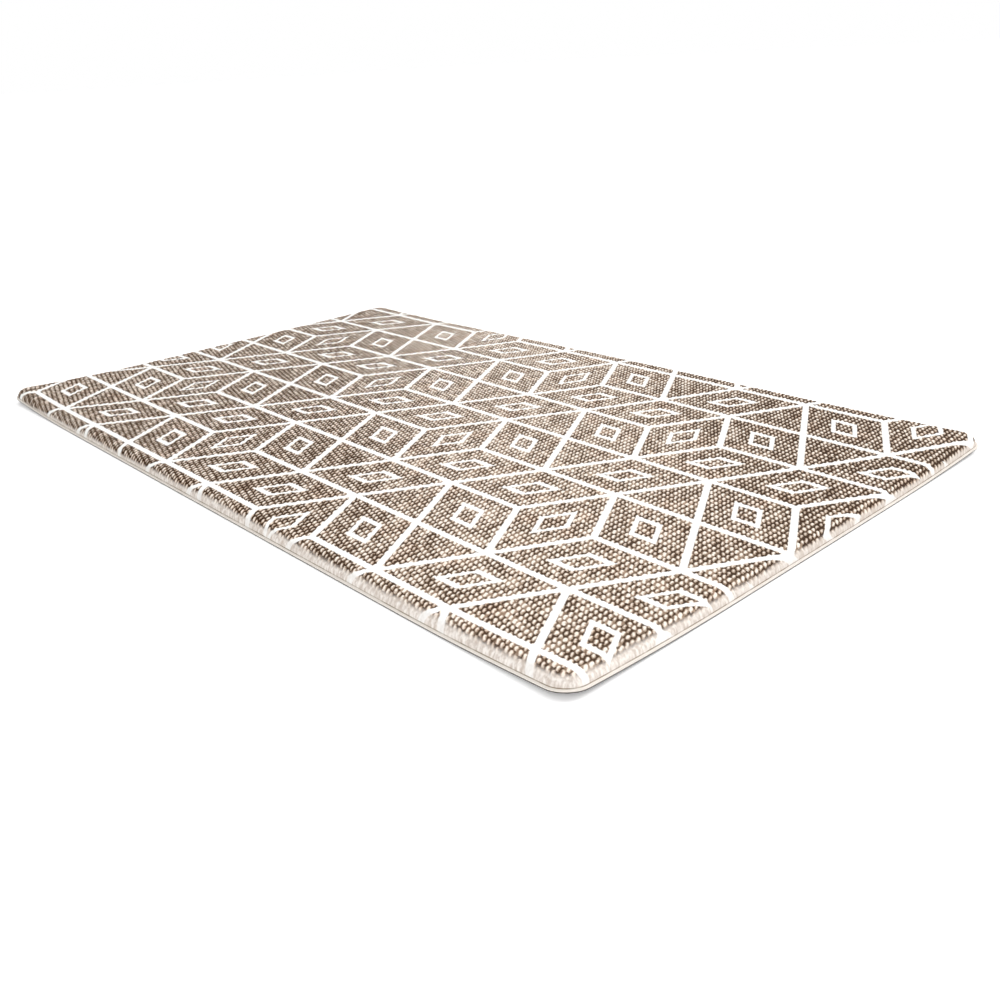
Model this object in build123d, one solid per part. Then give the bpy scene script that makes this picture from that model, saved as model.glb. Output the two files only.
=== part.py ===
from build123d import *
import os

# Cushioned standing mat: a printed vinyl skin over a knitted scrim and a foam core,
# heat-welded round its edge to a grip sheet underneath. Millimetres, +Z up. The origin
# is the middle of the underside, +X runs along the long side and +Y across the mat.

# Overall size
mat_length = 762.0
mat_width = 457.0
mat_thickness = 9.5
corner_radius = 16.0

# Layers
base_thickness = 1.2
skin_thickness = 0.6
scrim_thickness = 0.3

# Edge
weld_lip_width = 1.6
weld_lip_thickness = 0.8
wall_lean_degrees = 4.0
rim_radius = 7.0
lip_root_radius = 0.4

lip_top = base_thickness + weld_lip_thickness


def outline(inset):
    """The mat's rounded outline, moved in by inset."""
    return RectangleRounded(
        mat_length - 2 * inset,
        mat_width - 2 * inset,
        corner_radius - inset,
    )


def cushion(depth_in):
    """The cushion's outer form, with its walls and top moved in by depth_in."""
    block = extrude(
        Plane.XY.offset(base_thickness) * outline(weld_lip_width + depth_in),
        amount=mat_thickness - depth_in - base_thickness,
        taper=wall_lean_degrees,
    )
    rim_edges = block.edges().group_by(Axis.Z)[-1]
    return fillet(rim_edges, radius=rim_radius - depth_in)


def is_within_lip(edge):
    """True for an edge whose middle lies further in than the middle of the weld lip."""
    point = edge.position_at(0.5)
    past_straight_x = max(abs(point.X) - mat_length / 2 + corner_radius, 0)
    past_straight_y = max(abs(point.Y) - mat_width / 2 + corner_radius, 0)
    reach = (past_straight_x**2 + past_straight_y**2) ** 0.5
    return reach < corner_radius - weld_lip_width / 2


def make_base_sheet():
    """Grip sheet that lies on the floor, the full outline of the mat."""
    return extrude(outline(0), amount=base_thickness)


def make_foam_core():
    """Cushioning slab with leaning walls and a soft rim."""
    return cushion(skin_thickness + scrim_thickness)


def make_scrim():
    """Knitted backing of the skin, wrapped over the foam's top and walls."""
    return cushion(skin_thickness) - make_foam_core()


def make_top_skin():
    """Printed vinyl skin: its top, its walls and the thin lip welded to the grip sheet."""
    lip = extrude(
        Plane.XY.offset(base_thickness) * outline(0),
        amount=weld_lip_thickness,
    )
    shell = cushion(0) + lip
    level_edges = shell.edges().filter_by_position(Axis.Z, lip_top, lip_top)
    root_edges = level_edges.filter_by(is_within_lip)
    shell = fillet(root_edges, radius=lip_root_radius)
    return shell - cushion(skin_thickness)


pieces = {
    "base_sheet": make_base_sheet(),
    "foam_core": make_foam_core(),
    "skin_scrim": make_scrim(),
    "top_skin": make_top_skin(),
}

os.makedirs("parts", exist_ok=True)
for name, solid in pieces.items():
    export_step(solid, f"parts/{name}.step")
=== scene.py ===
"""Printed, foam-filled standing mat: the looks built around its CAD frame."""

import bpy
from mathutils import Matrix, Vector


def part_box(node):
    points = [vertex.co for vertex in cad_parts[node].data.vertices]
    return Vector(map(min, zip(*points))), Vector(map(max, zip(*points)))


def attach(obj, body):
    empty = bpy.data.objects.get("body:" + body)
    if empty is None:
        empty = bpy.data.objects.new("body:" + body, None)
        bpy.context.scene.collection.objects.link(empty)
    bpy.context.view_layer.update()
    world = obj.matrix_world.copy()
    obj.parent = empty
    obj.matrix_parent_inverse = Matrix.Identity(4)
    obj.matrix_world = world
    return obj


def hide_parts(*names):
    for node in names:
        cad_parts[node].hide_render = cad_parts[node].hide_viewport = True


bl_info = {
    "name": "Cushioned Standing Mat",
    "version": (1, 0, 0),
    "blender": (4, 5, 0),
    "location": "3D View > Sidebar > Mat",
    "description": "Builds a printed, foam-filled standing mat around its CAD frame",
    "category": "Add Mesh",
}

import math

import bmesh
import bpy
import numpy as np
from bpy.props import FloatProperty, FloatVectorProperty, PointerProperty
from bpy.types import Operator, Panel, PropertyGroup
from mathutils import Quaternion, Vector

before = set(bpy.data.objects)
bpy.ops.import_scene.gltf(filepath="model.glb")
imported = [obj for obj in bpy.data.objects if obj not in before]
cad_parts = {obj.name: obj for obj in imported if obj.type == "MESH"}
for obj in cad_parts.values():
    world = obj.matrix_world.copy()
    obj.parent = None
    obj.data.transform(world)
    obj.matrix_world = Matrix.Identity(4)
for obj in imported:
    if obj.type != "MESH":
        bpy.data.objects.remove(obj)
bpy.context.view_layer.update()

MM = 0.001
SQRT3_HALF = math.sqrt(3) / 2

# Where a bump's side starts and where it ends on top, in half-sizes out from the bump's middle
BUMP_FOOT = 1.30
BUMP_TOP = 0.10

# Grid of the layers under the skin, and the steps round their rims
LAYER_CELLS = (120, 72)
LAYER_RIM_STEPS = 5

# Shortest length that is divided by
SHORTEST = 1e-9


# ---------------------------------------------------------------- settings


def length_setting(name, description, default):
    """A size that a user may change, in metres."""
    return FloatProperty(name=name, description=description, default=default, unit="LENGTH", precision=5)


def angle_setting(name, description, degrees):
    """An angle that a user may change."""
    return FloatProperty(
        name=name, description=description, default=math.radians(degrees), subtype="ANGLE"
    )


def colour_setting(name, description, default):
    """A colour that a user may change."""
    return FloatVectorProperty(
        name=name, description=description, default=default, size=3, min=0.0, max=1.0, subtype="COLOR"
    )


class MAT_PG_edge(PropertyGroup):
    """The shape of the cushion's edge, shared by every layer."""

    corner_radius: length_setting("Corner radius", "Radius of the mat's outline at its corners", 16 * MM)
    rim_reach: length_setting("Rim reach", "How far in from the wall's foot the flat top starts", 8.6 * MM)
    lip_thickness: length_setting("Lip thickness", "Thickness of the welded lip", 0.8 * MM)
    lip_root_radius: length_setting("Lip root", "Roundness where the wall meets the welded lip", 0.4 * MM)
    curl_reach: length_setting("Curl reach", "How far from a corner the mat starts to lift", 140 * MM)
    curl: FloatVectorProperty(
        name="Curl", description="How far each corner lifts off the floor, anticlockwise from +X +Y",
        default=(2.4 * MM, 1.0 * MM, 5.2 * MM, 4.7 * MM), size=4, unit="LENGTH", precision=5,
    )
    bow: length_setting("Bow", "How far the mat's +Y edge bows up off the floor", 2.8 * MM)
    bow_reach: length_setting("Bow reach", "How far from the +Y edge the mat starts to bow up", 150 * MM)
    bow_middle: length_setting("Bow middle", "Where along the mat the bow is highest", 150 * MM)
    bow_half_length: length_setting("Bow half length", "From the bow's middle to its ends", 390 * MM)


class MAT_PG_skin(PropertyGroup):
    """Sizes and colours of the printed vinyl skin."""

    lattice_side: length_setting("Lattice side", "Side of the print's triangles and rhombuses", 69.6 * MM)
    lattice_x: length_setting("Lattice X", "Where the print's lattice starts, along the mat", -73.4 * MM)
    lattice_y: length_setting("Lattice Y", "Where the print's lattice starts, across the mat", -213.2 * MM)
    line_width: length_setting("Line width", "Width of the print's main lines", 4.9 * MM)
    inner_line_width: length_setting("Inner line width", "Width of the small rhombuses' lines", 3.3 * MM)
    weave_column: length_setting("Weave column", "Distance between columns of bumps", 4.36 * MM)
    weave_row: length_setting("Weave row", "Distance between bumps in one column", 4.44 * MM)
    weave_step: length_setting("Weave step", "How far each column is shifted from the last", -1.29 * MM)
    weave_relief: length_setting("Weave relief", "Height of the embossed bumps", 0.85 * MM)
    bump_length: length_setting("Bump length", "Length of one embossed bump", 6.6 * MM)
    bump_width: length_setting("Bump width", "Width of one embossed bump", 2.6 * MM)
    bump_turn: angle_setting("Bump turn", "Direction of the bumps' length", -60)
    ink: colour_setting("Ink", "Colour of the printed lines", (0.93, 0.92, 0.90))
    thread: colour_setting("Thread", "Colour on top of the bumps", (0.90, 0.82, 0.735))
    flank: colour_setting("Flank", "Colour on the sides of the bumps", (0.36, 0.26, 0.185))
    ground: colour_setting("Ground", "Colour between the bumps", (0.064, 0.037, 0.022))
    # Painted shade: the ground between the bumps takes this darker colour away from the band of painted
    # light across the mat.
    ground_painted_shade: colour_setting(
        "Deep ground", "Colour between the bumps where the print is deeper", (0.045, 0.022, 0.010)
    )
    blush: colour_setting("Blush", "Tint that comes and goes over the weave", (1.0, 0.86, 0.78))
    stretched: colour_setting("Stretched", "Colour of the film stretched over the walls", (0.58, 0.50, 0.44))
    stretched_pale: colour_setting("Stretched, pale", "Colour of its palest streaks", (0.90, 0.85, 0.80))
    seam: colour_setting("Seam", "Colour of the seam at the foot of the walls", (0.20, 0.15, 0.09))
    lip: colour_setting("Lip", "Colour of the welded lip", (0.76, 0.71, 0.65))


class MAT_PG_inside(PropertyGroup):
    """Finish of the layers under the skin."""

    foam: colour_setting("Foam", "Colour of the foam core", (0.80, 0.77, 0.70))
    foam_cell: length_setting("Foam cell", "Size of the foam's cells", 0.9 * MM)
    scrim: colour_setting("Scrim", "Colour of the knitted backing", (0.78, 0.77, 0.74))
    knit_pitch: length_setting("Knit pitch", "Distance between the scrim's stitches", 1.1 * MM)


class MAT_PG_grip(PropertyGroup):
    """The grip sheet under the mat."""

    pad_pitch: length_setting("Pad pitch", "Distance between grip pads", 12 * MM)
    pad_radius: length_setting("Pad radius", "Radius of one grip pad", 3.2 * MM)
    pad_height: length_setting("Pad height", "How far the pads stand out of the sheet", 0.25 * MM)
    margin: length_setting("Margin", "Plain band round the pads", 14 * MM)
    inset: length_setting("Inset", "How far the sheet's edge lies inside the welded lip's", 0.2 * MM)
    rubber: colour_setting("Rubber", "Colour of the grip sheet", (0.055, 0.046, 0.040))


class MAT_PG_stage(PropertyGroup):
    """Camera, floor and lights."""

    azimuth: angle_setting("Azimuth", "Camera's direction round the mat", 48.36)
    elevation: angle_setting("Elevation", "Camera's angle above the floor", 23.58)
    roll: angle_setting("Roll", "Camera's turn about its own axis", -3.17)
    distance: length_setting("Distance", "Camera's distance from what it aims at", 0.7282)
    aim: FloatVectorProperty(
        name="Aim", description="Point on the floor that the camera aims at",
        default=(0.17025, -0.07744, 0.0), size=3, unit="LENGTH",
    )
    lens: FloatProperty(name="Lens", description="Focal length", default=36.6, subtype="DISTANCE_CAMERA")
    floor: colour_setting("Floor", "Colour of the floor", (0.95, 0.95, 0.95))


# ---------------------------------------------------------------- shader maths


class Value:
    """A socket in a node tree, so that shader maths reads as plain Python."""

    def __init__(self, tree, socket):
        self.tree = tree
        self.socket = socket

    def maths(self, operation, *values):
        return add_node(self.tree, "ShaderNodeMath", {"operation": operation}, dict(enumerate(values)))

    def __add__(self, other):
        return self.maths("ADD", self, other)

    def __radd__(self, other):
        return self.maths("ADD", other, self)

    def __sub__(self, other):
        return self.maths("SUBTRACT", self, other)

    def __rsub__(self, other):
        return self.maths("SUBTRACT", other, self)

    def __mul__(self, other):
        return self.maths("MULTIPLY", self, other)

    def __rmul__(self, other):
        return self.maths("MULTIPLY", other, self)

    def __truediv__(self, other):
        return self.maths("DIVIDE", self, other)

    def __pow__(self, other):
        return self.maths("POWER", self, other)

    def __mod__(self, other):
        return self.maths("FLOORED_MODULO", self, other)

    def __abs__(self):
        return self.maths("ABSOLUTE", self)

    def floor(self):
        return self.maths("FLOOR", self)

    def nearest(self):
        return self.maths("ROUND", self)

    def at_least(self, other):
        return self.maths("MAXIMUM", self, other)

    def at_most(self, other):
        return self.maths("MINIMUM", self, other)

    def close_to(self, other, reach):
        """1 within reach of other, else 0."""
        return self.maths("COMPARE", self, other, reach)

    def is_one_of(self, *numbers):
        """1 where this whole number is one of those named, else 0."""
        found = self.close_to(numbers[0], 0.5)
        for number in numbers[1:]:
            found = found + self.close_to(number, 0.5)
        return found

    def ramp(self, start, end, low=0.0, high=1.0):
        """Runs smoothly from low at start to high at end."""
        settings = {"interpolation_type": "SMOOTHSTEP"}
        sockets = {0: self, 1: start, 2: end, 3: low, 4: high}
        return add_node(self.tree, "ShaderNodeMapRange", settings, sockets)


def add_node(tree, kind, settings=None, sockets=None, output=0):
    """Adds a node, sets its settings first and then its sockets, and gives one of its outputs."""
    node = tree.nodes.new(kind)
    for name, setting in (settings or {}).items():
        setattr(node, name, setting)
    for name, value in (sockets or {}).items():
        if isinstance(value, Value):
            tree.links.new(value.socket, node.inputs[name])
        else:
            node.inputs[name].default_value = value
    return Value(tree, node.outputs[output])


def mix_colours(tree, share, first, second, blend="MIX"):
    """Mixes two colours, each a Value or a plain colour."""
    sockets = {0: share, 6: as_rgba(first), 7: as_rgba(second)}
    return add_node(tree, "ShaderNodeMix", {"data_type": "RGBA", "blend_type": blend}, sockets, output=2)


def as_rgba(colour):
    """A plain colour with its alpha, or a Value as it is."""
    return colour if isinstance(colour, Value) else (*colour, 1.0)


def shade_of(colour, brightness):
    """A plain colour made darker or lighter."""
    return [channel * brightness for channel in colour]


def components(tree, vector):
    """The X, Y and Z of a vector."""
    split = add_node(tree, "ShaderNodeSeparateXYZ", {}, {0: vector})
    outputs = split.socket.node.outputs
    return [Value(tree, outputs[i]) for i in range(3)]


def vector_of(tree, x, y, z=0.0):
    """A vector from its parts, each a Value or a number."""
    return add_node(tree, "ShaderNodeCombineXYZ", {}, {0: x, 1: y, 2: z})


def noise(tree, vector, scale, detail=2.0, roughness=0.5):
    """Soft noise between 0 and 1."""
    sockets = {"Vector": vector, "Scale": scale, "Detail": detail, "Roughness": roughness}
    return add_node(tree, "ShaderNodeTexNoise", {}, sockets)


def object_place(tree):
    """The place in the piece's own mesh, from the Object output."""
    return add_node(tree, "ShaderNodeTexCoord", output=3)


def uv_place(tree, name):
    """The place in one of the piece's own UV maps."""
    return add_node(tree, "ShaderNodeUVMap", {"uv_map": name})


def new_material(name):
    """An empty node material and its tree."""
    material = bpy.data.materials.new(name)
    material.use_nodes = True
    material.node_tree.nodes.clear()
    return material, material.node_tree


def finish_material(tree, sockets):
    """Ends a tree in one Principled shader."""
    shader = add_node(tree, "ShaderNodeBsdfPrincipled", {}, sockets)
    output = tree.nodes.new("ShaderNodeOutputMaterial")
    tree.links.new(shader.socket, output.inputs["Surface"])


def bump(tree, height, distance, strength=1.0, normal=None):
    """A normal from a height; distance is the height's full depth."""
    sockets = {"Height": height, "Distance": distance, "Strength": strength}
    if normal is not None:
        sockets["Normal"] = normal
    return add_node(tree, "ShaderNodeBump", {}, sockets)


# ---------------------------------------------------------------- printed vinyl


def print_distance(tree, film, skin):
    """Distances, in lattice sides, to the print's main lines and to its small rhombuses.

    The print tiles rows of a triangle lattice. Each row repeats every seven sides, and the next
    row is the same row shifted by two and a half sides.
    """
    period = 7
    row_shift = 2.5
    far = 9.0
    x_film, y_film, _ = components(tree, film)
    x = (x_film - skin.lattice_x) / skin.lattice_side
    rows = (y_film - skin.lattice_y) / (skin.lattice_side * SQRT3_HALF)

    row = rows.floor()
    rise = rows - row
    along = x + row * row_shift
    rising = along - rise * 0.5
    falling = along + rise * 0.5

    rising_line = rising.nearest()
    rising_gone = (rising_line % period).is_one_of(3, 6)
    to_rising = abs(rising - rising_line) * SQRT3_HALF + rising_gone * far
    falling_line = falling.nearest()
    falling_gone = (falling_line % period).is_one_of(1, 2, 5)
    to_falling = abs(falling - falling_line) * SQRT3_HALF + falling_gone * far

    level = rows.nearest()
    in_gap = ((x + level * row_shift) % period).close_to(2.5, 0.5)
    to_level = abs(rows - level) * SQRT3_HALF + in_gap * far
    main = to_rising.at_most(to_falling).at_most(to_level)

    inner_reach = 0.131
    inner_rise = 0.172
    slimness = inner_reach / inner_rise
    from_middle = abs(rise - 0.5) * slimness
    rising_cell = rising.floor()
    in_rising = (rising_cell % period).is_one_of(0, 1, 4)
    rising_box = abs(rising - rising_cell - 0.5).at_least(from_middle)
    to_rising_box = abs(rising_box - inner_reach) * SQRT3_HALF + (1 - in_rising) * far
    falling_cell = falling.floor()
    in_falling = (falling_cell % period).is_one_of(3, 6)
    falling_box = abs(falling - falling_cell - 0.5).at_least(from_middle)
    to_falling_box = abs(falling_box - inner_reach) * SQRT3_HALF + (1 - in_falling) * far

    upright_size = 0.16

    def to_upright_box(middle, height):
        offset = along - middle
        offset = offset - (offset / period).nearest() * period
        return abs(abs(offset) + height * 0.5 - upright_size) * SQRT3_HALF

    upright = to_upright_box(2.5, rise).at_most(to_upright_box(0.0, 1 - rise))
    inner = to_rising_box.at_most(to_falling_box).at_most(upright)
    return main, inner


def printed_ink(tree, film, skin):
    """The share of printed line at a place, with slightly ragged edges."""
    raggedness = 0.014
    softness = 0.006
    ragged = (noise(tree, film, scale=900.0) - 0.5) * raggedness
    main, inner = print_distance(tree, film, skin)
    half_main = skin.line_width / skin.lattice_side / 2
    half_inner = skin.inner_line_width / skin.lattice_side / 2
    main_ink = (main + ragged).ramp(half_main + softness, half_main - softness)
    inner_ink = (inner + ragged).ramp(half_inner + softness, half_inner - softness)
    return main_ink.at_least(inner_ink)


def place_in_bump(x, y, skin, nearest):
    """The column and row of the bump that a place belongs to, and its reach from the bump's middle.

    The reach is 1 at the bump's half-sizes. This works on arrays, with np.round as nearest, and on
    Values, with Value.nearest.
    """
    column = nearest(x / skin.weave_column)
    off_x = x - column * skin.weave_column
    up = y - column * skin.weave_step
    row = nearest(up / skin.weave_row)
    off_y = up - row * skin.weave_row
    cosine, sine = math.cos(skin.bump_turn), math.sin(skin.bump_turn)
    lengthways = (off_x * cosine + off_y * sine) / (skin.bump_length / 2)
    widthways = (off_y * cosine - off_x * sine) / (skin.bump_width / 2)
    return column, row, (lengthways**2 + widthways**2) ** 0.5


def weave_domes(tree, film, skin):
    """The weave's bumps, from 0 between them to 1 on top, and a random number for each bump."""
    shake = 2.0 * MM
    shake_scale = 170.0
    other_slice = 0.7
    x, y, _ = components(tree, film)
    swapped = vector_of(tree, y, x, other_slice)
    shaken_x = x + (noise(tree, film, shake_scale) - 0.5) * shake
    shaken_y = y + (noise(tree, swapped, shake_scale) - 0.5) * shake
    column, row, reach = place_in_bump(shaken_x, shaken_y, skin, Value.nearest)
    wobble = (noise(tree, film, scale=520.0, detail=3.0, roughness=0.65) - 0.5) * 1.5
    dome = (reach + wobble).ramp(BUMP_FOOT, BUMP_TOP)
    cell = vector_of(tree, column, row)
    chance = add_node(tree, "ShaderNodeTexWhiteNoise", {"noise_dimensions": "2D"}, {0: cell})
    return dome, chance


def woven_colour(tree, film, place, skin, grain, dome, chance):
    """Dark ground, brown flanks and pale tops of the bumps, mottled along the threads, under painted light
    and shade.
    """
    x_film, y_film, _ = components(tree, film)
    drawn_out = vector_of(tree, x_film, y_film * 0.35)
    slub = noise(tree, drawn_out, scale=110.0, detail=3.0, roughness=0.6)
    mottle = (chance - 0.5) * 0.45 + (grain - 0.5) * 0.35 + (slub - 0.5) * 0.75

    # Painted light and shade: the weave is painted lightest in a slanted band across the mat and painted
    # darker on both sides of it, ground and all.
    lit_band_side = (0.66, 0.75)
    lit_band_middle = 90 * MM
    painted_shade_strength = 0.19
    x, y, _ = components(tree, place)
    from_lit_band = abs(x * lit_band_side[0] + y * lit_band_side[1] - lit_band_middle)
    painted_shade = from_lit_band.ramp(30 * MM, 220 * MM)
    tone = dome + mottle - painted_shade * painted_shade_strength

    ground = mix_colours(tree, painted_shade, skin.ground, skin.ground_painted_shade)
    flanks = mix_colours(tree, tone.ramp(-0.05, 0.30), ground, skin.flank)
    tops = mix_colours(tree, tone.ramp(0.25, 0.95), flanks, skin.thread)
    blushing = noise(tree, film, scale=38.0).ramp(0.45, 0.75, low=0.0, high=0.4)
    return mix_colours(tree, blushing, tops, skin.blush, "MULTIPLY")


def stretched_wall(tree, place, height, skin, base):
    """The share of stretched film, from 0 on top to 1 at the foot of the walls, and its colour.

    The weave creeps further down the wall towards the mat's -X end and its +Y side.
    """
    streak_creep = 3.2 * MM
    patch_creep = 3.0 * MM
    end_creep = 2.6 * MM
    corner_creep = 2.4 * MM
    side_creep = 2.0 * MM
    weave_above = base + 7.6 * MM
    pale_below = base + 4.8 * MM

    x, y, _ = components(tree, place)
    streak = noise(tree, vector_of(tree, x, y, height * 0.12), scale=520.0, detail=3.0, roughness=0.6)
    patch = noise(tree, place, scale=24.0)
    creep = (streak - 0.5) * streak_creep + (patch - 0.5) * patch_creep
    creep = creep + x.ramp(120 * MM, -220 * MM) * end_creep
    creep = creep + x.ramp(-270 * MM, -360 * MM) * corner_creep
    creep = creep + y.ramp(-190 * MM, 160 * MM) * side_creep
    share = (height + creep).ramp(weave_above, pale_below)

    paleness = streak.ramp(0.3, 0.7) * y.ramp(-190 * MM, 50 * MM, low=1.0, high=0.6)
    return share, mix_colours(tree, paleness, skin.stretched, skin.stretched_pale)


def welded_edge(tree, film, height, skin, base, surface):
    """The surface's colour with the pale welded lip and the patchy seam above it."""
    seam_middle = base + 1.12 * MM
    lip = height.ramp(base + 1.0 * MM, base + 0.85 * MM)
    with_lip = mix_colours(tree, lip, surface, skin.lip)
    seam = abs(height - seam_middle).ramp(0.32 * MM, 0.12 * MM)
    patchy = noise(tree, film, scale=90.0).ramp(0.35, 0.6, low=0.4, high=0.9)
    return mix_colours(tree, seam * patchy, with_lip, skin.seam)


def vinyl_material(skin, layer):
    """Matte embossed vinyl: pale bumps over a brown ground, white printed lines, pale stretched walls.

    The print and weave follow the UV map "film", and the bands down the walls follow the height
    that the UV map "section" holds.
    """
    material, tree = new_material("printed_vinyl")
    film = uv_place(tree, "film")
    place = object_place(tree)
    height = components(tree, uv_place(tree, "section"))[1]

    ink = printed_ink(tree, film, skin)
    grain = noise(tree, film, scale=1900.0, detail=3.0, roughness=0.6)
    dome, chance = weave_domes(tree, film, skin)
    woven = woven_colour(tree, film, place, skin, grain, dome, chance)
    wall, worn = stretched_wall(tree, place, height, skin, layer.base)
    body = mix_colours(tree, wall * 0.96, woven, worn)
    printed = mix_colours(tree, ink * (1 - wall * 0.35), body, skin.ink)
    surface = welded_edge(tree, film, height, skin, layer.base, printed)

    fine = bump(tree, grain, 0.05 * MM, 0.6)
    raised = dome * (1 - wall * 0.7) * (1 - ink * 0.8)
    finish_material(
        tree,
        {
            "Base Color": surface,
            "Roughness": 0.50 + (grain - 0.5) * 0.20 + ink * 0.10 - dome * 0.06,
            "Normal": bump(tree, raised, 0.30 * MM, 0.6, fine),
            "Specular IOR Level": 0.05,
        },
    )
    return material


def foam_material(inside):
    """Pale open-celled foam."""
    material, tree = new_material("cushion_foam")
    place = object_place(tree)
    cell = add_node(tree, "ShaderNodeTexVoronoi", {}, {"Vector": place, "Scale": 1 / inside.foam_cell})
    blotch = noise(tree, place, scale=18.0)
    pore = cell.ramp(0.15, 0.5)
    shadow = shade_of(inside.foam, 0.55)
    body = mix_colours(tree, pore * 0.7 + blotch * 0.3, shadow, inside.foam)
    relief = bump(tree, pore, 0.3 * MM, 0.7)
    finish_material(tree, {"Base Color": body, "Roughness": 0.85 + (blotch - 0.5) * 0.2, "Normal": relief})
    return material


def knit_material(inside):
    """Fine pale knit: wales of small slanted stitches."""
    material, tree = new_material("knitted_scrim")
    place = object_place(tree)
    x, y, z = components(tree, place)
    wale = (x / inside.knit_pitch) % 1.0
    slant = abs(wale - 0.5)
    course = abs(((y + z) / inside.knit_pitch + slant) % 1.0 - 0.5)
    stitch = (slant.ramp(0.5, 0.25) * course.ramp(0.5, 0.2)).at_most(1.0)
    fuzz = noise(tree, place, scale=2400.0, detail=3.0, roughness=0.6)
    shadow = shade_of(inside.scrim, 0.5)
    body = mix_colours(tree, stitch * 0.8 + fuzz * 0.2, shadow, inside.scrim)
    relief = bump(tree, stitch + fuzz * 0.2, 0.15 * MM, 0.8)
    finish_material(
        tree,
        {"Base Color": body, "Roughness": 0.8 + (fuzz - 0.5) * 0.2, "Normal": relief, "Sheen Weight": 0.2},
    )
    return material


def rubber_material(grip):
    """Dark matte rubber with a fine grain, rubbed paler on the pads."""
    material, tree = new_material("grip_rubber")
    place = object_place(tree)
    height = components(tree, place)[2]
    grain = noise(tree, place, scale=1500.0, detail=3.0, roughness=0.6)
    scuff = noise(tree, place, scale=45.0, detail=3.0, roughness=0.6)
    worn = height.ramp(0.35 * MM, 0.0) * scuff.ramp(0.4, 0.65)
    dusty = shade_of(grip.rubber, 2.2)
    body = mix_colours(tree, (worn * 0.6 + grain * 0.25).at_most(1.0), grip.rubber, dusty)
    relief = bump(tree, grain, 0.06 * MM, 0.7)
    finish_material(
        tree,
        {"Base Color": body, "Roughness": 0.68 + (grain - 0.5) * 0.2 + worn * 0.1, "Normal": relief},
    )
    return material


# ---------------------------------------------------------------- shapes


class Outline:
    """A rounded rectangle about the origin, and the places round it."""

    def __init__(self, half_length, half_width, radius):
        self.radius = radius
        self.core = np.array([half_length - radius, half_width - radius])
        self.half = np.array([half_length, half_width])

    def directions(self, points):
        """For points outside the core, the outward unit vectors of the outline beside them."""
        away = points - np.clip(points, -self.core, self.core)
        length = np.linalg.norm(away, axis=1, keepdims=True)
        return away / np.maximum(length, SHORTEST)

    def feet(self, points):
        """The nearest places on the outline to points outside the core."""
        return np.clip(points, -self.core, self.core) + self.directions(points) * self.radius

    def fill(self, points):
        """Moves points of the bounding rectangle into the rounded outline."""
        size = np.abs(points)
        past = np.maximum(size - self.core, 0) / self.radius
        round_x = past[:, 0] * np.sqrt(1 - past[:, 1] ** 2 / 2)
        round_y = past[:, 1] * np.sqrt(1 - past[:, 0] ** 2 / 2)
        moved = np.minimum(size, self.core) + np.column_stack([round_x, round_y]) * self.radius
        return np.sign(points) * moved


def mat_half():
    """Half the mat's length and width."""
    low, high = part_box("base_sheet")
    return (high[0] - low[0]) / 2, (high[1] - low[1]) / 2


class Layer:
    """Sizes of one layer of the cushion, whose surface lies depth under the skin's."""

    def __init__(self, edge, depth):
        half_length, half_width = mat_half()
        scrim_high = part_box("skin_scrim")[1]
        skin_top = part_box("top_skin")[1][2]
        skin_thickness = skin_top - scrim_high[2]
        self.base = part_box("base_sheet")[1][2]
        self.lip_top = self.base + edge.lip_thickness
        self.lip_width = half_length - scrim_high[0] - skin_thickness
        self.top = skin_top - depth
        self.reach = edge.rim_reach - depth
        self.fall = self.top - self.lip_top
        self.border = self.lip_width + edge.rim_reach
        self.outline = Outline(
            half_length - self.border, half_width - self.border, edge.corner_radius - self.border
        )

    def rim(self, steps, stop_above=0.0):
        """Points down the quarter-round rim, as outward and height, to stop_above over the lip."""
        last = math.acos(stop_above / self.fall)
        angles = [last * step / steps for step in range(1, steps + 1)]
        return [(self.reach * math.sin(a), self.lip_top + self.fall * math.cos(a)) for a in angles]


def new_grid(name, cells, layer):
    """A flat grid filled into a layer's outline, at its top."""
    bpy.ops.object.select_all(action="DESELECT")
    bpy.ops.mesh.primitive_grid_add(
        x_subdivisions=cells[0], y_subdivisions=cells[1], size=2, location=(0, 0, 0)
    )
    grid = bpy.context.active_object
    grid.name = name
    grid.data.name = name
    while grid.data.uv_layers:
        grid.data.uv_layers.remove(grid.data.uv_layers[0])
    points = read_points(grid.data)
    points[:, :2] = layer.outline.fill(points[:, :2] * layer.outline.half)
    points[:, 2] = layer.top
    write_points(grid.data, points)
    return grid


def read_points(mesh):
    """The place of each vertex, one row each."""
    points = np.empty(len(mesh.vertices) * 3)
    mesh.vertices.foreach_get("co", points)
    return points.reshape(-1, 3)


def write_points(mesh, points):
    """Moves each vertex to the place in its row."""
    mesh.vertices.foreach_set("co", np.ascontiguousarray(points).ravel())
    mesh.update()


def cushion_form(name, edge, depth):
    """The top and walls of a layer that lies depth under the skin's surface, open underneath."""
    layer = Layer(edge, depth)
    form = new_grid(name, LAYER_CELLS, layer)
    draw_down(form, layer.outline, layer.rim(LAYER_RIM_STEPS) + [(layer.reach, layer.base)])
    return form


def skin_form(name, edge, cells, steps):
    """The skin's outer surface: top, rim, wall and welded lip, open underneath."""
    layer = Layer(edge, 0.0)
    root = edge.lip_root_radius
    thickness = edge.lip_thickness
    lip_root = [
        (layer.reach + 0.2 * root, layer.lip_top + 0.3 * root),
        (layer.reach + root, layer.lip_top),
    ]
    lip_edge = [
        (layer.border - 0.4 * thickness, layer.lip_top),
        (layer.border - 0.1 * thickness, layer.lip_top - 0.15 * thickness),
        (layer.border, layer.lip_top - 0.5 * thickness),
        (layer.border, layer.base),
    ]
    form = new_grid(name, cells, layer)
    draw_down(form, layer.outline, layer.rim(steps, stop_above=root) + lip_root + lip_edge)
    return form, layer


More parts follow.
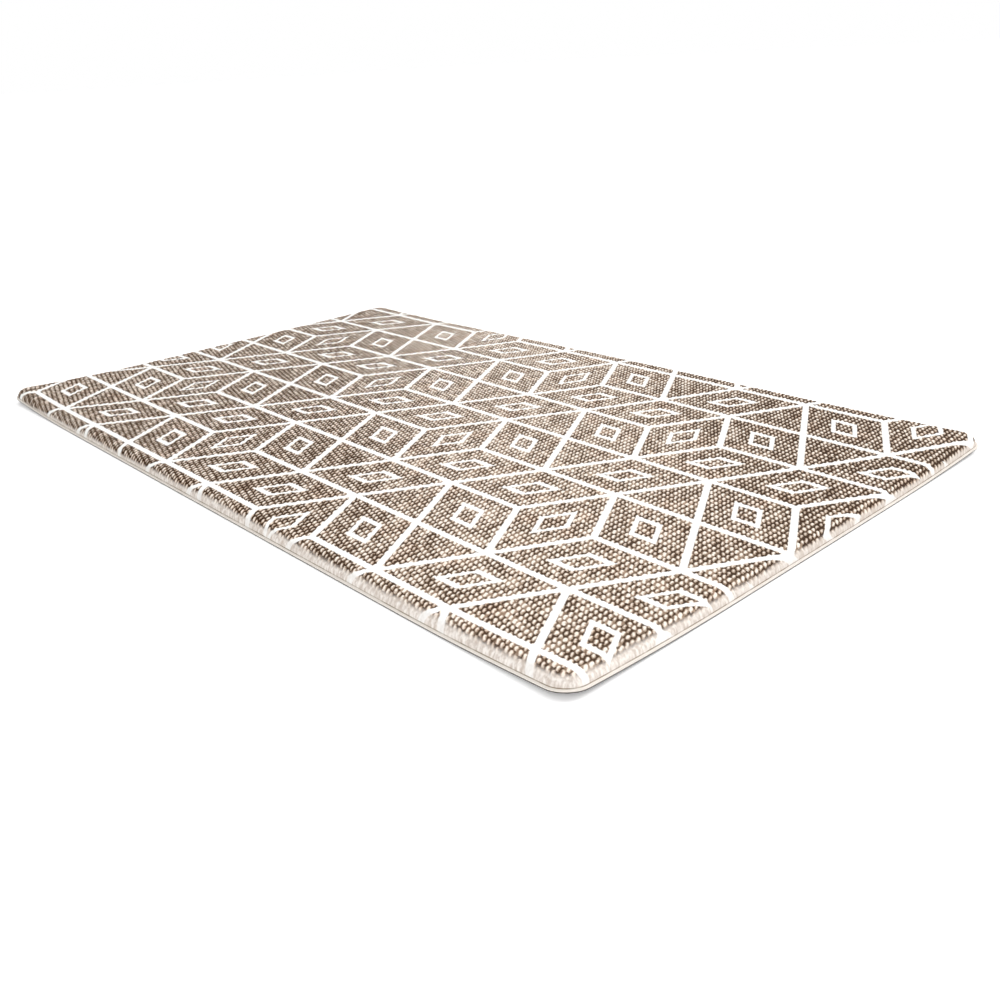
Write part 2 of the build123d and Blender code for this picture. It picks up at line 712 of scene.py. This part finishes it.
def edit(piece):
    """Enters edit mode on one piece with nothing selected."""
    bpy.ops.object.select_all(action="DESELECT")
    piece.select_set(True)
    bpy.context.view_layer.objects.active = piece
    bpy.ops.object.mode_set(mode="EDIT")
    bpy.ops.mesh.select_mode(type="EDGE")
    bpy.ops.mesh.select_all(action="DESELECT")


def close_with_lining(piece, lining):
    """Turns the lining to face inwards, joins it to the piece and bridges their open borders."""
    edit(lining)
    bpy.ops.mesh.select_all(action="SELECT")
    bpy.ops.mesh.flip_normals()
    bpy.ops.object.mode_set(mode="OBJECT")
    bpy.ops.object.select_all(action="DESELECT")
    lining.select_set(True)
    piece.select_set(True)
    bpy.context.view_layer.objects.active = piece
    bpy.ops.object.join()
    edit(piece)
    bpy.ops.mesh.select_non_manifold(extend=False, use_wire=False, use_boundary=True)
    bpy.ops.mesh.bridge_edge_loops()
    bpy.ops.object.mode_set(mode="OBJECT")


def close_underneath(piece):
    """Fills the open border under a piece with one face."""
    edit(piece)
    bpy.ops.mesh.select_non_manifold(extend=False, use_wire=False, use_boundary=True)
    bpy.ops.mesh.edge_face_add()
    bpy.ops.object.mode_set(mode="OBJECT")


def lift_edges(mesh, edge):
    """Lifts a mesh a little at the mat's corners and along its +Y edge, as a loose mat lies."""
    points = read_points(mesh)
    half_length, half_width = mat_half()
    signs = ((1, 1), (-1, 1), (-1, -1), (1, -1))
    for (sign_x, sign_y), lift in zip(signs, edge.curl):
        away = np.hypot(points[:, 0] - sign_x * half_length, points[:, 1] - sign_y * half_width)
        points[:, 2] += lift * np.clip(1 - away / edge.curl_reach, 0, 1) ** 2
    across = np.clip(1 - (half_width - points[:, 1]) / edge.bow_reach, 0, 1) ** 2
    along = np.clip(1 - ((points[:, 0] - edge.bow_middle) / edge.bow_half_length) ** 2, 0, 1)
    points[:, 2] += edge.bow * across * along
    write_points(mesh, points)


def draw_down(grid, outline, profile):
    """Extrudes the grid's border through the profile's points, each an outward place and a height.

    The attribute film_offset keeps how far each new vertex is from the border along the surface.
    """
    mesh = grid.data
    last = (0.0, mesh.vertices[0].co[2])
    covered = 0.0
    edit(grid)
    bpy.ops.mesh.select_non_manifold(extend=False, use_wire=False, use_boundary=True)
    shape = bmesh.from_edit_mesh(mesh)
    shape.verts.layers.float.new("film_offset")
    for outward, height in profile:
        bpy.ops.mesh.extrude_edges_move()
        shape = bmesh.from_edit_mesh(mesh)
        film_layer = shape.verts.layers.float["film_offset"]
        ring = [v for v in shape.verts if v.select]
        flat = np.array([v.co[:2] for v in ring])
        places = outline.feet(flat) + outline.directions(flat) * outward
        covered += math.dist(last, (outward, height))
        last = (outward, height)
        for v, (x, y) in zip(ring, places):
            v.co = (x, y, height)
            v[film_layer] = covered
        bmesh.update_edit_mesh(mesh)
    bpy.ops.object.mode_set(mode="OBJECT")


def film_coordinates(mesh, outline):
    """Each vertex's place on the flat printed film, and how much film lies between it and the top."""
    points = read_points(mesh)[:, :2]
    offset = np.empty(len(mesh.vertices))
    mesh.attributes["film_offset"].data.foreach_get("value", offset)
    on_edge = offset > 0
    film = points.copy()
    stretch_start = 7.6 * MM
    film_per_length = 0.55
    drawn = offset[on_edge]
    stretched = stretch_start + (drawn - stretch_start) * film_per_length
    drawn = np.where(drawn < stretch_start, drawn, stretched)
    direction = outline.directions(points[on_edge])
    film[on_edge] = outline.feet(points[on_edge]) + direction * drawn[:, None]
    return film, offset


def write_uv(mesh, name, coordinates):
    """Stores a coordinate per vertex as a UV map."""
    corners = np.empty(len(mesh.loops), dtype=np.int64)
    mesh.loops.foreach_get("vertex_index", corners)
    layer = mesh.uv_layers.new(name=name)
    layer.data.foreach_set("uv", coordinates[corners].ravel())


def weave_height(film, skin, seed=7):
    """Height of the embossed weave, from 0 between bumps to about 1 on top of them."""
    column, row, reach = place_in_bump(film[:, 0], film[:, 1], skin, np.round)
    dome = np.clip((BUMP_FOOT - reach) / (BUMP_FOOT - BUMP_TOP), 0, 1)
    rounded = dome * dome * (3 - 2 * dome)
    columns = (column - column.min()).astype(int)
    rows = (row - row.min()).astype(int)
    chance = np.random.default_rng(seed).uniform(0.8, 1.15, (columns.max() + 1, rows.max() + 1))
    return rounded * chance[columns, rows]


def emboss(piece, film, offset, skin):
    """Raises the weave out of the skin's top and rim, and fades it out down the walls."""
    mean_height = 0.7
    fade_places = np.array([0, 6, 11, 12.4]) * MM
    strength = np.interp(offset, fade_places, [1, 0.8, 0.12, 0])
    relief = (weave_height(film, skin) - mean_height) * skin.weave_relief * strength
    write_points(piece.data, read_points(piece.data) + vertex_normals(piece.data) * relief[:, None])


def vertex_normals(mesh):
    """The normal of each vertex, one row each."""
    normals = np.empty(len(mesh.vertices) * 3)
    mesh.vertex_normals.foreach_get("vector", normals)
    return normals.reshape(-1, 3)


def smooth_shade(piece):
    """Shades all of a piece's faces smooth."""
    piece.data.polygons.foreach_set("use_smooth", np.ones(len(piece.data.polygons), dtype=bool))
    piece.data.update()


def settle(piece, node, material):
    """Gives a finished piece its material, smooth shading and body, and hides the CAD node that it stands
    for.
    """
    piece.data.materials.clear()
    piece.data.materials.append(material)
    smooth_shade(piece)
    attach(piece, "root")
    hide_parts(node)


# ---------------------------------------------------------------- operators


class MAT_OT_printed_skin(Operator):
    """Adds the printed, embossed vinyl skin with its welded lip"""

    bl_idname = "mat.printed_skin"
    bl_label = "Printed skin"

    def execute(self, context):
        edge, skin = context.scene.mat_edge, context.scene.mat_skin
        half_length, half_width = mat_half()
        faces_per_bump = 5
        rim_steps = 14
        columns = int(2 * half_length / skin.weave_column) * faces_per_bump
        rows = int(2 * half_width / skin.weave_row) * faces_per_bump
        piece, layer = skin_form("printed_skin", edge, (columns, rows), rim_steps)
        film, offset = film_coordinates(piece.data, layer.outline)
        height = read_points(piece.data)[:, 2]
        write_uv(piece.data, "film", film)
        write_uv(piece.data, "section", np.column_stack([offset, height]))
        emboss(piece, film, offset, skin)
        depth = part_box("top_skin")[1][2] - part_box("skin_scrim")[1][2]
        close_with_lining(piece, cushion_form("lining", edge, depth))
        lift_edges(piece.data, edge)
        settle(piece, "top_skin", vinyl_material(skin, layer))
        return {"FINISHED"}


class MAT_OT_scrim(Operator):
    """Adds the knitted backing under the skin"""

    bl_idname = "mat.scrim"
    bl_label = "Scrim"

    def execute(self, context):
        edge, inside = context.scene.mat_edge, context.scene.mat_inside
        skin_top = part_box("top_skin")[1][2]
        outer_depth = skin_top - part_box("skin_scrim")[1][2]
        inner_depth = skin_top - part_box("foam_core")[1][2]
        piece = cushion_form("knitted_scrim", edge, outer_depth)
        close_with_lining(piece, cushion_form("lining", edge, inner_depth))
        lift_edges(piece.data, edge)
        settle(piece, "skin_scrim", knit_material(inside))
        return {"FINISHED"}


class MAT_OT_foam_core(Operator):
    """Adds the foam core"""

    bl_idname = "mat.foam_core"
    bl_label = "Foam core"

    def execute(self, context):
        edge, inside = context.scene.mat_edge, context.scene.mat_inside
        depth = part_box("top_skin")[1][2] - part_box("foam_core")[1][2]
        piece = cushion_form("cushion_foam", edge, depth)
        close_underneath(piece)
        lift_edges(piece.data, edge)
        settle(piece, "foam_core", foam_material(inside))
        return {"FINISHED"}


class MAT_OT_grip_sheet(Operator):
    """Adds the grip sheet that lies on the floor"""

    bl_idname = "mat.grip_sheet"
    bl_label = "Grip sheet"

    def add_plate(self, grip, edge):
        """The plain sheet, with its edges drawn down."""
        half_length, half_width = mat_half()
        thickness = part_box("base_sheet")[1][2]
        inset = grip.inset
        layer = Layer(edge, 0.0)
        layer.outline = Outline(half_length - inset, half_width - inset, edge.corner_radius - inset)
        layer.top = thickness
        chamfer = 0.1 * MM
        plate = new_grid("grip_sheet", LAYER_CELLS, layer)
        draw_down(
            plate, layer.outline, [(0.0, grip.pad_height + chamfer), (-chamfer, grip.pad_height)]
        )
        close_underneath(plate)
        return plate

    def add_pads(self, grip, odd):
        """Every other row of round pads under the sheet, with their tops sunk into it."""
        half_length, half_width = mat_half()
        row_pitch = grip.pad_pitch * SQRT3_HALF
        columns = int((half_length - grip.margin) * 2 / grip.pad_pitch)
        rows = int((half_width - grip.margin) / row_pitch)
        shift = 0.5 if odd else 0.0
        depth = grip.pad_height * 1.2
        foot_radius = grip.pad_radius * 0.86
        place = (
            (shift - columns + 1) * grip.pad_pitch / 2,
            (2 * shift - rows + 0.5) * row_pitch,
            depth / 2,
        )
        bpy.ops.object.select_all(action="DESELECT")
        bpy.ops.mesh.primitive_cone_add(
            vertices=12, radius1=foot_radius, radius2=grip.pad_radius, depth=depth, location=place
        )
        pad = bpy.context.active_object
        for offset, count in (((grip.pad_pitch, 0, 0), columns), ((0, 2 * row_pitch, 0), rows)):
            array = pad.modifiers.new("array", "ARRAY")
            array.use_relative_offset = False
            array.use_constant_offset = True
            array.constant_offset_displace = offset
            array.count = count
            bpy.ops.object.modifier_apply(modifier=array.name)
        bpy.ops.object.transform_apply(location=True, rotation=False, scale=False)
        return pad

    def execute(self, context):
        grip, edge = context.scene.mat_grip, context.scene.mat_edge
        piece = self.add_plate(grip, edge)
        pads = [self.add_pads(grip, odd) for odd in (False, True)]
        bpy.ops.object.select_all(action="DESELECT")
        for part in (*pads, piece):
            part.select_set(True)
        bpy.context.view_layer.objects.active = piece
        bpy.ops.object.join()
        lift_edges(piece.data, edge)
        settle(piece, "base_sheet", rubber_material(grip))
        sharp_edge = math.radians(40)
        bpy.ops.object.shade_smooth_by_angle(angle=sharp_edge)
        return {"FINISHED"}


class MAT_OT_stage(Operator):
    """Adds the floor, the lights and the camera"""

    bl_idname = "mat.stage"
    bl_label = "Stage"

    def execute(self, context):
        stage = context.scene.mat_stage
        self.add_floor(stage)
        self.add_lights(context.scene)
        self.add_camera(context.scene, stage)
        return {"FINISHED"}

    def add_floor(self, stage):
        """A matte floor that also glows a little, so that it stays white beside the mat."""
        bpy.ops.object.select_all(action="DESELECT")
        bpy.ops.mesh.primitive_plane_add(size=60, location=(0, 0, 0))
        floor = bpy.context.active_object
        floor.name = "floor"
        material, tree = new_material("pale_floor")
        finish_material(
            tree,
            {
                "Base Color": as_rgba(stage.floor),
                "Roughness": 0.9,
                "Specular IOR Level": 0.1,
                "Emission Color": (1, 1, 1, 1),
                "Emission Strength": 0.30,
            },
        )
        floor.data.materials.append(material)

    def add_lights(self, scene):
        self.add_sky(scene)
        self.add_area("back_light", place=(0.9, 1.3, 1.1), size=0.9, power=14)
        self.add_area("front_light", place=(0.85, -0.85, 0.75), size=0.5, power=4.5)
        scene.view_settings.view_transform = "Standard"

    def add_sky(self, scene):
        """A white studio: bright round one place overhead and at the horizon, dimmer between them."""
        overhead = (-0.22, 0.30, 0.928)
        world = bpy.data.worlds.new("studio")
        scene.world = world
        world.use_nodes = True
        tree = world.node_tree
        tree.nodes.clear()
        direction = add_node(tree, "ShaderNodeTexCoord")
        east, north, rise = components(tree, direction)
        towards_overhead = east * overhead[0] + north * overhead[1] + rise * overhead[2]
        horizon_glow = rise.ramp(0.06, 0.16, low=1.0, high=0.30)
        overhead_glow = towards_overhead.ramp(0.50, 0.85, low=0.0, high=1.2)
        sockets = {"Color": (1, 1, 1, 1), "Strength": horizon_glow + overhead_glow}
        background = add_node(tree, "ShaderNodeBackground", {}, sockets)
        output = tree.nodes.new("ShaderNodeOutputWorld")
        tree.links.new(background.socket, output.inputs["Surface"])

    def add_area(self, name, place, size, power):
        """A square lamp turned to the middle of the mat."""
        light = bpy.data.lights.new(name, "AREA")
        light.size = size
        light.energy = power
        lamp = bpy.data.objects.new(name, light)
        lamp.location = place
        lamp.rotation_euler = (-Vector(place)).to_track_quat("-Z", "Y").to_euler()
        bpy.context.scene.collection.objects.link(lamp)

    def add_camera(self, scene, stage):
        """A camera at the stage's angles, looking at its aim."""
        level = math.cos(stage.elevation)
        back = Vector(
            (math.sin(stage.azimuth) * level, -math.cos(stage.azimuth) * level, math.sin(stage.elevation))
        )
        lens = bpy.data.cameras.new("camera")
        lens.lens = stage.lens
        lens.sensor_width = 36
        camera = bpy.data.objects.new("camera", lens)
        camera.location = Vector(stage.aim) + back * stage.distance
        turn = (-back).to_track_quat("-Z", "Y") @ Quaternion((0, 0, 1), stage.roll)
        camera.rotation_euler = turn.to_euler()
        scene.collection.objects.link(camera)
        scene.camera = camera


class MAT_PT_panel(Panel):
    """Lists the mat's pieces and their settings"""

    bl_label = "Standing mat"
    bl_idname = "MAT_PT_panel"
    bl_space_type = "VIEW_3D"
    bl_region_type = "UI"
    bl_category = "Mat"

    def draw(self, context):
        for operator in PIECE_OPERATORS:
            self.layout.operator(operator.bl_idname)
        for name, group in SETTINGS.items():
            box = self.layout.box()
            for prop in group.__annotations__:
                box.prop(getattr(context.scene, name), prop)


PIECE_OPERATORS = (
    MAT_OT_grip_sheet,
    MAT_OT_foam_core,
    MAT_OT_scrim,
    MAT_OT_printed_skin,
    MAT_OT_stage,
)
SETTINGS = {
    "mat_edge": MAT_PG_edge,
    "mat_skin": MAT_PG_skin,
    "mat_inside": MAT_PG_inside,
    "mat_grip": MAT_PG_grip,
    "mat_stage": MAT_PG_stage,
}


def register():
    for group in SETTINGS.values():
        bpy.utils.register_class(group)
    for name, group in SETTINGS.items():
        setattr(bpy.types.Scene, name, PointerProperty(type=group))
    for operator in PIECE_OPERATORS:
        bpy.utils.register_class(operator)
    bpy.utils.register_class(MAT_PT_panel)


def unregister():
    bpy.utils.unregister_class(MAT_PT_panel)
    for operator in reversed(PIECE_OPERATORS):
        bpy.utils.unregister_class(operator)
    for name in SETTINGS:
        delattr(bpy.types.Scene, name)
    for group in SETTINGS.values():
        bpy.utils.unregister_class(group)


def main():
    register()
    bpy.ops.mat.grip_sheet()
    bpy.ops.mat.foam_core()
    bpy.ops.mat.scrim()
    bpy.ops.mat.printed_skin()
    bpy.ops.mat.stage()
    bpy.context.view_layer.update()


if __name__ == "__main__":
    main()
